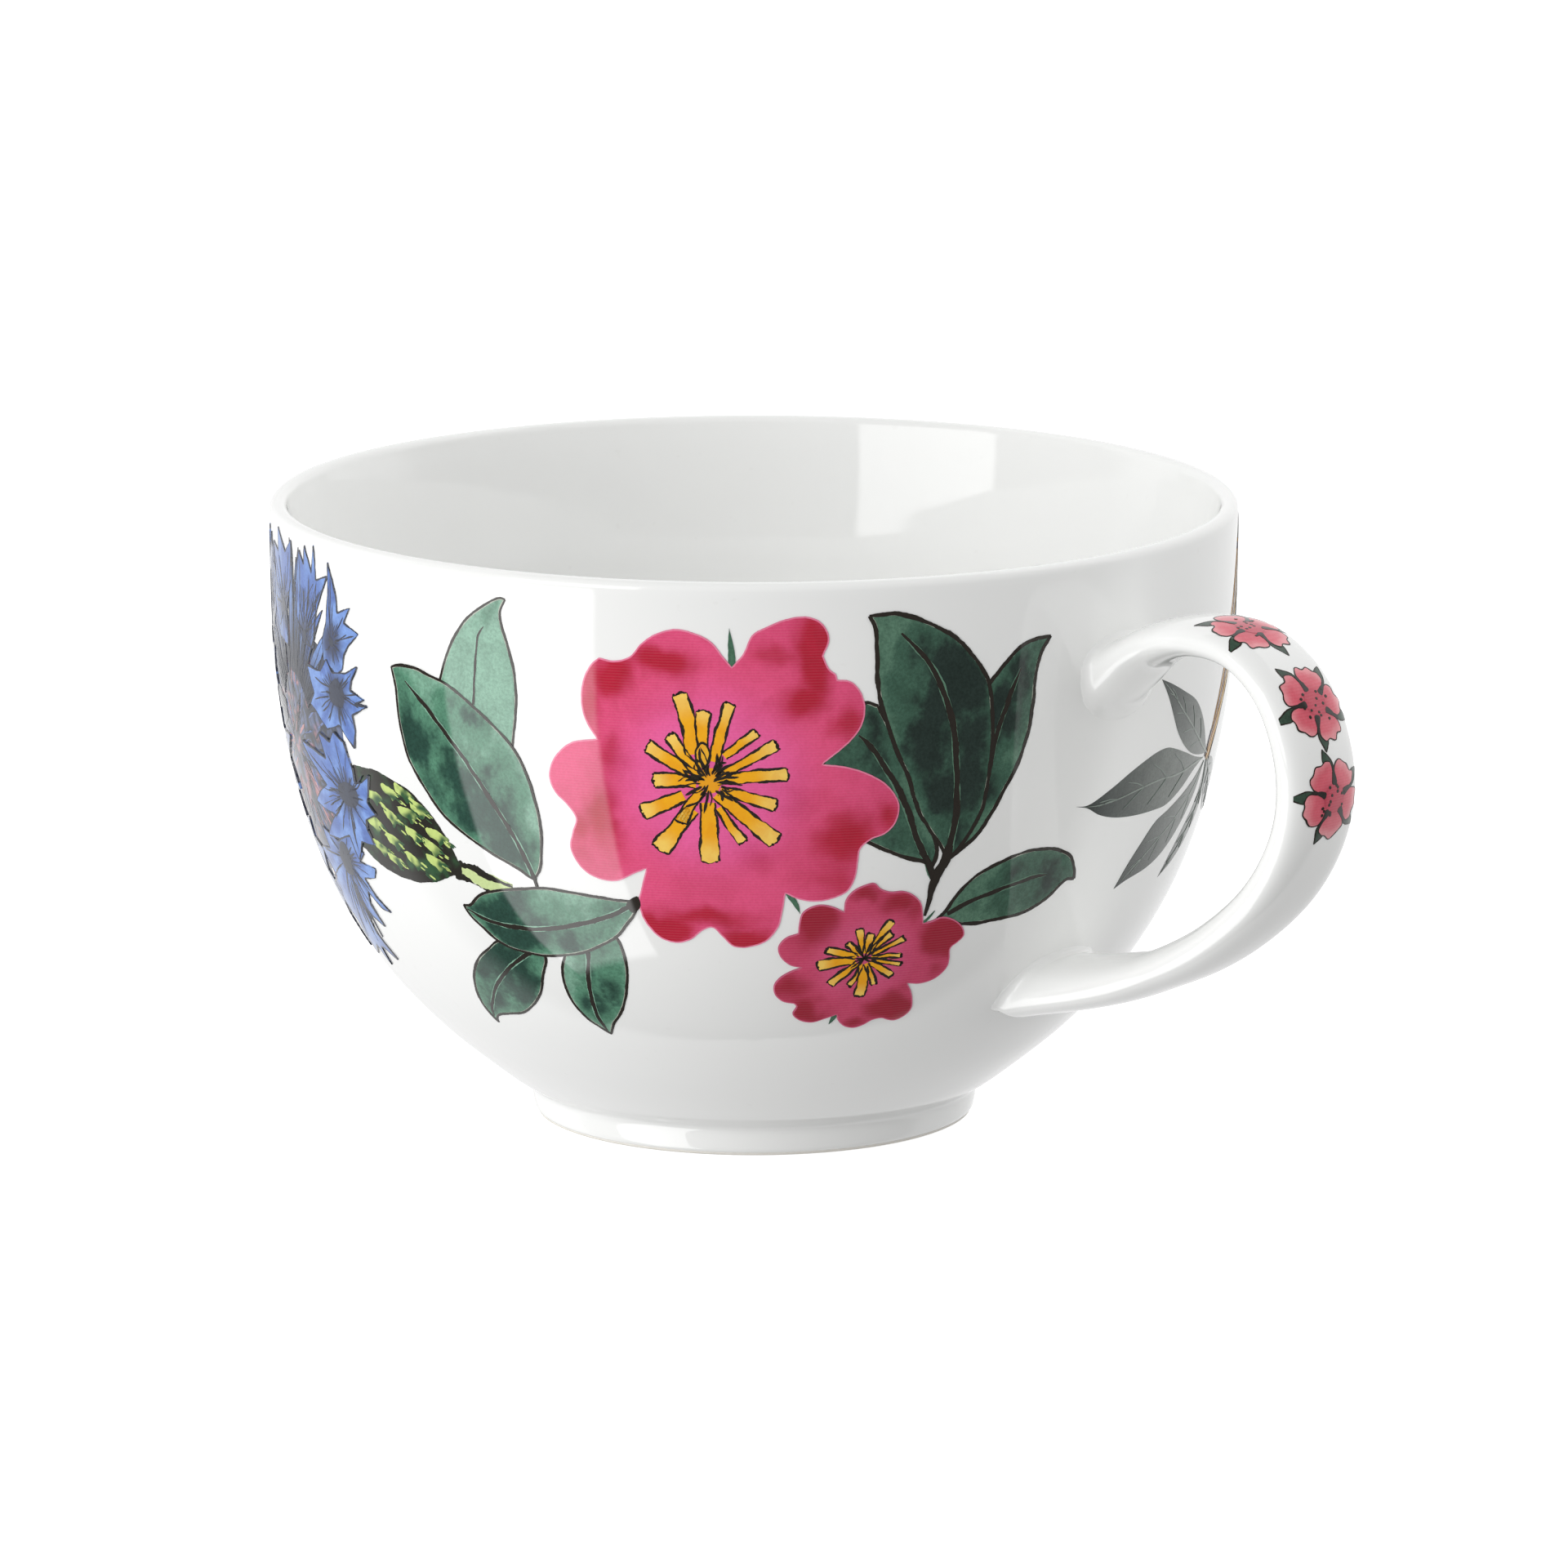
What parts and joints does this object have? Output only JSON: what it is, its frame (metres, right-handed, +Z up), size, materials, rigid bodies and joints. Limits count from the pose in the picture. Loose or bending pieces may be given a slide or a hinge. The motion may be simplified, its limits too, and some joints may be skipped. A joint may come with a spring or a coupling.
{
  "type": "teacup",
  "caption": "Round porcelain teacup with a flared bowl on a low foot ring, a strap loop handle and printed garden flowers on a white glaze.",
  "frame": {"origin": "middle of the object's footprint box on the surface that it stands on; the bowl's own axis is vertical at x = -13.65 mm", "axes": "+Z up out of the bowl, +X from the bowl towards the handle, +Y completes the right-handed frame and crosses the handle's finger loop"},
  "size_m": [0.1273, 0.1, 0.0647],
  "materials": {
    "glazed_porcelain": "gloss",
    "bare_porcelain": "matte",
    "printed_enamel": "gloss"
  },
  "bodies": {
    "root": {"bowl": "glazed_porcelain", "foot_ring": "bare_porcelain", "handle": "glazed_porcelain", "upper_slip_joint": "glazed_porcelain", "lower_slip_joint": "glazed_porcelain"}
  },
  "joints": []
}
